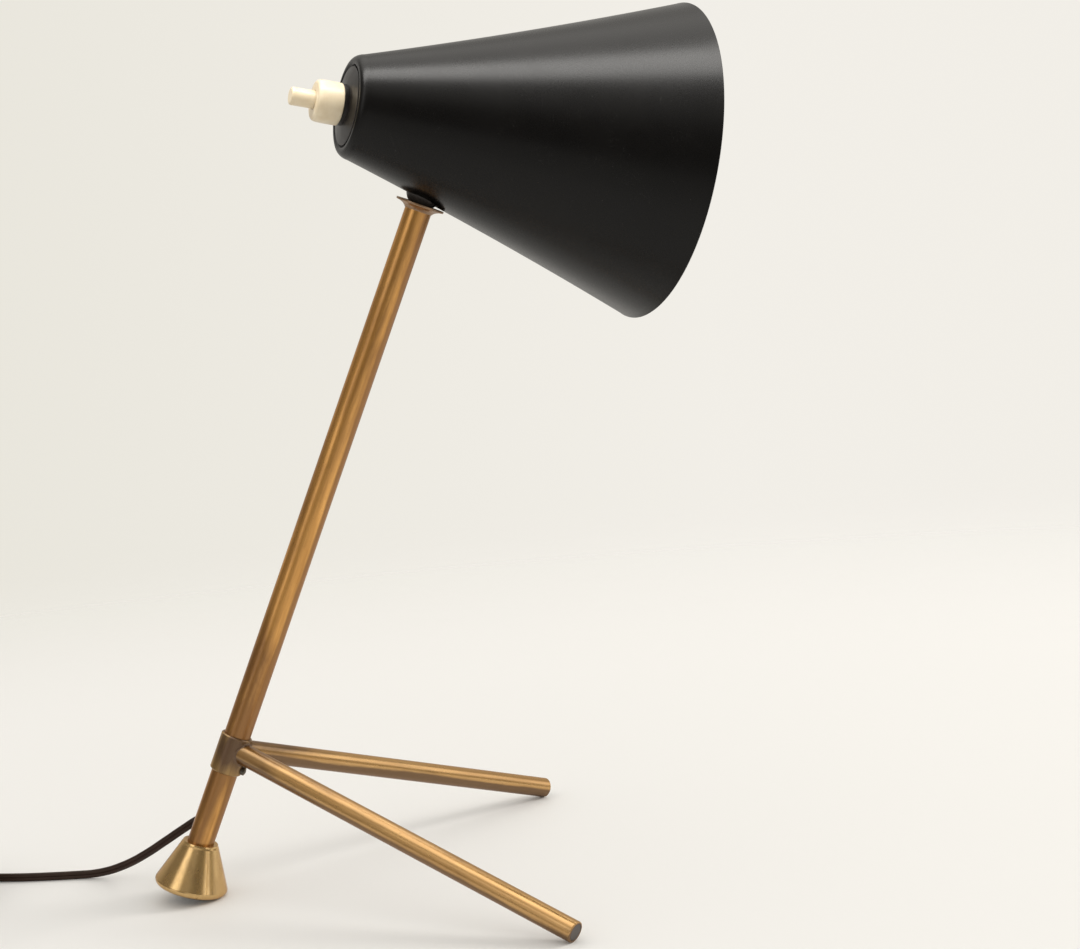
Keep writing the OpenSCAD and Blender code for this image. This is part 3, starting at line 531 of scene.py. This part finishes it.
def coil_pt(t):
    """The coil's centre line after t turns: the layers run inward and outward in turn."""
    layer = min(LAYERS - 1, int(t / LAYER_TURNS))
    depth = t - layer * LAYER_TURNS
    if layer % 2:
        depth = LAYER_TURNS - depth
    rise = 0
    for k in range(1, LAYERS):
        c = min(1, max(0, (t - k * LAYER_TURNS) / 0.5 + 0.5))
        rise += c * c * (3 - 2 * c)
    a = rad(COIL_START + 360 * t)
    r = COIL_R - COIL_PITCH * depth
    return Vector((COIL_X + r * math.cos(a), COIL_Y + r * math.sin(a), COIL_Z + COIL_RISE * rise))


def smooth_route(p, m):
    """A smooth curve through the points, in m steps between each two."""
    out = [p[0]]
    for i in range(len(p) - 1):
        a, b, c, d = p[max(i - 1, 0)], p[i], p[i + 1], p[min(i + 2, len(p) - 1)]
        for k in range(1, m + 1):
            t = k / m
            out.append(0.5 * (2 * b + (c - a) * t + (2 * a - 5 * b + 4 * c - d) * t * t
                              + (3 * b - a - 3 * c + d) * t ** 3))
    return out


def cord_route():
    """The flex's centre line from the stem to the plug's relief, in points from the stem's foot."""
    start = rad(COIL_START)
    coil_in = coil_pt(0)
    coil_dir = Vector((-math.sin(start), math.cos(start), 0))
    first = coil_in - CORD_D * coil_dir
    last = Vector((coil_in.x, coil_in.y, COIL_Z + (LAYERS - 1) * COIL_RISE))
    last += CORD_D * coil_dir
    free = [EXIT, EXIT + 2.2 * EXIT_DIR, EXIT + 4.4 * EXIT_DIR, (9.8, 15.1, 31.9), (6.9, 18.3, 29.9),
            (3.1, 20.6, 27.3), (-1.2, 22.5, 24.5), (-5.4, 24.3, 21.7), (-9.7, 26.2, 18.9), (-14, 28.3, 16),
            (-18.7, 31, 13), (-24, 34.3, 9.8), (-30, 37.8, 6.8), (-37, 41.4, 4.1), (-45, 44.4, 2.4),
            (-54, 46.4, 2), (-66, 48.2, 2), (-79, 50.8, 2), (-92, 54.6, 2), (-103, 58.4, 2.3),
            first - 4 * coil_dir, first - 2 * coil_dir, first]
    tail = [last, last + 2 * coil_dir, last + 4 * coil_dir, (-128, 65.8, 15.9), (-140, 68.4, 13.8),
            (-152, 70.2, 10.6), (-163, 71, 8), (RELIEF_X + 5, PLUG_Y, PLUG_Z),
            (RELIEF_X + 2.5, PLUG_Y, PLUG_Z), (RELIEF_X, PLUG_Y, PLUG_Z)]
    coil = [coil_pt(i / TURN_STEPS) for i in range(COIL_TURNS * TURN_STEPS + 1)]
    pts = (smooth_route([Vector(p) for p in free], POINT_STEPS) + coil
           + smooth_route([Vector(p) for p in tail], POINT_STEPS))
    return [Vector((p.x + STEM_X, p.y, p.z)) for p in pts]


def flex_section():
    """Twin flex: two round cores side by side, on edge."""
    off = CORD_D / 2 - CORE_R
    alpha = math.pi - math.acos(off / CORE_R)
    section = []
    for sign in (1, -1):
        for k in range(CORE_STEPS + 1):
            a = -alpha + 2 * alpha * k / CORE_STEPS
            section.append((-sign * CORE_R * math.sin(a), sign * (off + CORE_R * math.cos(a))))
    return section


def sweep(name, path, section, mats):
    """Draws a section along a path, both in mm, with its second side kept upright, and closes the ends."""
    n, verts, faces = len(section), [], []
    for i, p in enumerate(path):
        t = (path[min(i + 1, len(path) - 1)] - path[max(i - 1, 0)]).normalized()
        s = Vector((0, 0, 1)).cross(t).normalized()
        u = t.cross(s)
        for a, b in section:
            verts.append((p + s * a + u * b) * MM)
        if i:
            for k in range(n):
                nxt = (k + 1) % n
                o = i * n
                faces.append((o - n + k, o - n + nxt, o + nxt, o + k))
    faces.append(tuple(range(n - 1, -1, -1)))
    faces.append(tuple(range(len(verts) - n, len(verts))))
    return mesh_of(name, verts, faces, mats, smooth=FLEX_SMOOTH)


route = cord_route()
flex = sweep("twin_flex", route, flex_section(), [M["cord"]])
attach(flex, "base")
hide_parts("cord_free", "cord_coil", "cord_tail")


# ---------------------------------------------------------------- shade
# Rounded edge at the mouth, the lip's roll at the rear, steps along the cone, and the ball's hole.
EDGE, ROLL_IN, SHADE_STEPS, HOLE_DEPTH = 0.9, 1.6, 60, 20


def shade_profile():
    """The shell's profile (r, x), outside and then inside, and the segment at which its white begins."""
    sh = side_r(SHOULDER)
    turn = sh - LIP_R - ROLL_IN
    outer = [(THREAD_R, RECESS), (LIP_R - ROLL_IN, RECESS), (LIP_R - 1.1, RECESS - 0.15),
             (LIP_R - 0.75, RECESS - 0.6), (LIP_R - 0.45, 0.35), (LIP_R - 0.1, 0.08), (LIP_R + 0.4, 0),
             (LIP_R + 1, 0.02)]
    outer += [(sh - turn + turn * math.sin(rad(a)) - 0.6 * math.cos(rad(a)),
               SHOULDER - SHOULDER * math.cos(rad(a))) for a in range(8, 84, 5)]
    outer += [(side_r(x), x) for x in [SHOULDER + (SHADE_LEN - EDGE - SHOULDER) * i / SHADE_STEPS
                                       for i in range(SHADE_STEPS + 1)]]
    end, ro = SHADE_LEN, side_r(SHADE_LEN)
    lip = [(ro - 0.05, end - 0.35), (ro - 0.25, end - 0.08), (ro - 0.55, end),
           (ro - 0.85, end - 0.08), (ro - 1.03, end - 0.35)]
    x0 = RECESS + WALL + 2
    inner = [(side_r(x) - WALL_OUT, x) for x in [end - EDGE - (end - EDGE - x0) * i / SHADE_STEPS
                                                 for i in range(SHADE_STEPS + 1)]]
    rear = side_r(RECESS + WALL) - WALL_OUT
    inner += [(rear - 0.9, RECESS + WALL + 0.55), (rear - 2.2, RECESS + WALL), (THREAD_R, RECESS + WALL)]
    return outer + lip + inner, len(outer) + 3


pts, edge = shade_profile()
shade = lathe("shade_shell_painted", pts, SHADE_AXIS, [M["paint"], M["white"]], 256, True,
              lambda i: 0 if i < edge or i >= len(pts) - 1 else 1, 40)
hole = lathe("hole", [(0, -HOLE_DEPTH), (BALL_HOLE_R, -HOLE_DEPTH), (BALL_HOLE_R, 0), (0, 0)], BALL_M,
             (), 64)
cut(shade, hole)
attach(shade, "shade")
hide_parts("shade_shell")

# ---------------------------------------------------------------- switch nose, with its moulded roundings
nose_m = SHADE_AXIS @ T(0, 0, NOSE_X - NOSE_LEN)
nose = lathe("switch_nose_moulded", rounded([
    (THREAD_R, NOSE_FRONT), (BUTTON_R + 0.1, NOSE_FRONT), (BUTTON_R + 0.1, 0.4), (BUTTON_R + 0.5, 0),
    (NOSE_R - 0.55, 0, 1.5), (NOSE_R - 0.1, 2.6, 1.5), (NOSE_R, 5), (NOSE_R, NOSE_LEN - 0.4, 0.3),
    (NOSE_R - 0.4, NOSE_LEN), (THREAD_R, NOSE_LEN)]), nose_m, [M["ivory"]], 128, True)
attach(nose, "shade")
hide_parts("switch_nose")

# ---------------------------------------------------------------- brazing and set screw
# Bead of brazing, mm: its reach, how far it sinks in, and how near the lamp's middle plane it stops.
BEAD, BEAD_IN, BEAD_SKIP, BEAD_STEPS = 0.85, 0.02, 0.35, 120
# Set screw: its turn about the collar, place along the stem, radius and ends, and the socket in its head.
SCREW_TURN, SCREW_S, SCREW_R, SCREW_IN, SCREW_OUT = 12, 65.9, 1.9, 5, 8.7
SOCKET_R, SOCKET_BED, SOCKET_RIM = 0.6, 8.5, 9.05


def coping(side, ang):
    """Point where a leg's surface line meets the sleeve, with the leg's outward direction there."""
    a = leg_dir(side)
    u = a.cross(STEM_DIR).normalized()
    w = u.cross(a).normalized()
    out = u * math.cos(ang) + w * math.sin(ang)
    p = out * LEG_R
    pf, af = p - STEM_DIR * p.dot(STEM_DIR), a - STEM_DIR * a.dot(STEM_DIR)
    qa, qb, qc = af.dot(af), 2 * pf.dot(af), pf.dot(pf) - COLLAR_R ** 2
    t = (-qb + math.sqrt(qb * qb - 4 * qa * qc)) / (2 * qa)
    return p + a * t, out, a


def loft(name, rings, mats):
    """Skins a row of rings in mm and closes both ends."""
    n = len(rings[0])
    verts = [v * MM for r in rings for v in r]
    faces = [((i - 1) * n + k, (i - 1) * n + (k + 1) % n, i * n + (k + 1) % n, i * n + k)
             for i in range(1, len(rings)) for k in range(n)]
    faces += [tuple(range(n - 1, -1, -1)), tuple(range(len(verts) - n, len(verts)))]
    return mesh_of(name, verts, faces, mats, smooth=60)


def fillet(name, side):
    """Uneven bead of brazing around a leg, left out where the other leg runs into it."""
    rings = []
    for k in range(BEAD_STEPS + 1):
        c, out, a = coping(side, 2 * math.pi * k / BEAD_STEPS)
        # Too near the middle plane, where the other leg is.
        if c.y * side < BEAD_SKIP:
            rings.append(None)
            continue
        s = STEM_DIR * c.dot(STEM_DIR)
        normal = (c - s).normalized()
        along = (out - normal * out.dot(normal)).normalized()
        wave = 1 + 0.12 * math.sin(k * 0.9) + 0.08 * math.sin(k * 2.3)
        top = c + a * BEAD * wave
        low = c + along * BEAD * wave
        low_s = STEM_DIR * low.dot(STEM_DIR)
        low = low_s + (low - low_s).normalized() * (COLLAR_R + BEAD_IN)
        top = top + out * BEAD_IN
        arc = [top * (1 - t) ** 2 + c * 2 * t * (1 - t) + low * t * t for t in (0, 0.2, 0.4, 0.6, 0.8, 1)]
        deep = c - out * 0.5 - normal * 0.4
        rings.append([LEG_TOP + v for v in arc + [deep]])
    start = next(i for i in range(BEAD_STEPS)
                 if rings[i] is None and rings[(i + 1) % BEAD_STEPS] is not None)
    run = []
    for i in range(start + 1, start + BEAD_STEPS + 1):
        if rings[i % BEAD_STEPS] is None:
            break
        run.append(rings[i % BEAD_STEPS])
    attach(loft(name, run, [M["braze"]]), "base")


fillet("braze_near", -1)
fillet("braze_far", 1)
screw_m = stem_m(SCREW_S) @ R(-SCREW_TURN, "Z") @ R(90, "Y")
screw = lathe("set_screw", rounded([
    (0, SCREW_IN), (SCREW_R, SCREW_IN), (SCREW_R, SCREW_OUT, 0.6), (SOCKET_R, SOCKET_RIM),
    (SOCKET_R, SOCKET_BED), (0, SOCKET_BED)]), screw_m, [M["screw"]], 48)
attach(screw, "base")

# ---------------------------------------------------------------- dark pad under the foot, painted shadow
PAD_R, PAD_TOP, PAD_LOW = 12.6, 0.3, -0.45
pad_m = T(STEM_X + FOOT_X, 0, FOOT_Z) @ R(FOOT_LEAN, "Y")
pad = lathe("foot_shadow_pad", rounded([(0, PAD_TOP), (PAD_R, PAD_TOP), (PAD_R, PAD_LOW, 0.2), (0, PAD_LOW)]),
            pad_m, [M["felt"]], 96)
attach(pad, "base")

# ---------------------------------------------------------------- floor, world, lights
# Floor, m: its radius, its sides, and where it fades out into the backdrop.
FLOOR, FLOOR_R, FLOOR_SIDES, FLOOR_FADE = (0.86, 0.845, 0.81, 1), 2, 64, (0.55, 1.5)
# Backdrop as the camera sees it, at its left and its right.
BACK_LEFT, BACK_RIGHT = (0.812, 0.788, 0.715), (0.885, 0.858, 0.802)
# Surroundings that only the shiny pieces mirror: before, beside, behind and below the lamp, and how the
# first three follow each other from straight behind (0) to straight in front (0.5).
FRONT, SIDE, REAR, BELOW = (0.10, 0.092, 0.085), (0.20, 0.185, 0.17), (0.60, 0.58, 0.54), (0.62, 0.60, 0.56)
AROUND = [(0.0, REAR), (0.12, REAR), (0.20, SIDE), (0.37, SIDE), (0.44, FRONT)]
# Soft boxes among them: turn from the front to the right, height, inner and outer half angle in degrees,
# brightness. A box's colour is its brightness times the warm white.
GLOSS = ((10, 60, 12, 38, 0.8), (-46, 15, 5, 19, 1.2), (-42, 36, 5, 18, 2.0), (-160, 80, 8, 44, 2.3),
         (99, 24, 7, 22, 1.6), (59, 3, 5, 15, 2.0))
WARM = (1, 0.97, 0.92)
# Even light on everything else.
SKY, SKY_GLOW = (1, 0.985, 0.96, 1), 0.88
# Colour of the two lamps.
LAMP = (1, 0.98, 0.95)


def make_floor():
    """A pale disc that fades into the backdrop."""
    m, nt, p = material("floor")
    p.inputs["Base Color"].default_value = FLOOR
    p.inputs["Roughness"].default_value = 0.6
    p.inputs["Specular IOR Level"].default_value = 0.25
    tc = add(nt, "ShaderNodeTexCoord")
    flat = add(nt, "ShaderNodeVectorMath", {0: tc.outputs["Object"], 1: (1, 1.5, 1)},
               operation="MULTIPLY")
    dist = add(nt, "ShaderNodeVectorMath", {0: flat.outputs[0]}, operation="LENGTH").outputs["Value"]
    fade = map_range(nt, dist, *FLOOR_FADE, 0, 1, "SMOOTHSTEP")
    clear = add(nt, "ShaderNodeBsdfTransparent")
    mx = add(nt, "ShaderNodeMixShader", {0: fade, 1: p.outputs[0], 2: clear.outputs[0]})
    nt.links.new(mx.outputs[0], nt.nodes["Material Output"].inputs["Surface"])
    turns = [2 * math.pi * k / FLOOR_SIDES for k in range(FLOOR_SIDES)]
    me = bpy.data.meshes.new("floor")
    me.from_pydata([(FLOOR_R * math.cos(a), FLOOR_R * math.sin(a), 0) for a in turns], [],
                   [tuple(range(FLOOR_SIDES))])
    ob = bpy.data.objects.new("floor", me)
    me.materials.append(m)
    bpy.context.scene.collection.objects.link(ob)


def make_world():
    """The backdrop for the camera, the surroundings for shiny pieces, and even light for the rest."""
    w = bpy.context.scene.world or bpy.data.worlds.new("world")
    bpy.context.scene.world = w
    w.use_nodes = True
    nt = w.node_tree
    nt.nodes.clear()
    ray = add(nt, "ShaderNodeLightPath").outputs
    way = add(nt, "ShaderNodeTexCoord").outputs["Generated"]
    sep = add(nt, "ShaderNodeSeparateXYZ", {0: way})
    across = map_range(nt, sep.outputs["X"], -0.2, 0.12, 0, 1)
    seen = add(nt, "ShaderNodeBackground", {"Color": mix(nt, across, BACK_LEFT, BACK_RIGHT),
                                            "Strength": 1.0})
    turn = math_(nt, "ARCTAN2", sep.outputs["X"], math_(nt, "MULTIPLY", sep.outputs["Y"], -1.0))
    turn = map_range(nt, turn, -math.pi, math.pi, 0, 1)
    mirrored = ramp(nt, turn, AROUND + [(1 - t, c) for t, c in reversed(AROUND)])
    low = map_range(nt, sep.outputs["Z"], -0.02, -0.14, 0, 1)
    mirrored = mix(nt, low, mirrored, BELOW)
    for az, el, inner, outer, glow in GLOSS:
        flat = math.cos(rad(el))
        box = (flat * math.sin(rad(az)), -flat * math.cos(rad(az)), math.sin(rad(el)))
        mirrored = mix(nt, near_way(nt, way, box, inner, outer), mirrored, tuple(glow * c for c in WARM))
    gloss = add(nt, "ShaderNodeBackground", {"Color": mirrored, "Strength": 1.0})
    light = add(nt, "ShaderNodeBackground", {"Color": SKY, "Strength": SKY_GLOW})
    unseen = add(nt, "ShaderNodeMixShader", {0: ray["Is Glossy Ray"], 1: light.outputs[0],
                                             2: gloss.outputs[0]})
    cam = math_(nt, "MAXIMUM", ray["Is Camera Ray"], ray["Is Transmission Ray"])
    both = add(nt, "ShaderNodeMixShader", {0: cam, 1: unseen.outputs[0], 2: seen.outputs[0]})
    add(nt, "ShaderNodeOutputWorld", {0: both.outputs[0]})


def area(name, pos, target, size, watts):
    """A rectangular lamp that faces its target and isn't seen itself."""
    d = bpy.data.lights.new(name, "AREA")
    d.shape, d.size, d.size_y = "RECTANGLE", size[0], size[1]
    d.energy, d.color = watts, LAMP
    ob = bpy.data.objects.new(name, d)
    bpy.context.scene.collection.objects.link(ob)
    ob.location = pos
    ob.rotation_mode = "QUATERNION"
    ob.rotation_quaternion = (Vector(target) - Vector(pos)).to_track_quat("-Z", "Y")
    ob.visible_camera = False
    return ob


make_floor()
make_world()
key = area("key", pos=(3.3, 0.45, 2.0), target=(0, 0, 0.1), size=(1.7, 1.7), watts=62)
key.visible_glossy = False
# Lights the shade and the switch alone.
band = area("shade_band", pos=(0.06, -0.25, 1.51), target=(0.06, 0, 0.34), size=(1.6, 0.5), watts=28)
only = bpy.data.collections.new("lit_by_band")
for lit in (shade, nose, nodes["switch_button"]):
    only.objects.link(lit)
band.light_linking.receiver_collection = only
bpy.context.scene.view_settings.view_transform = "Standard"
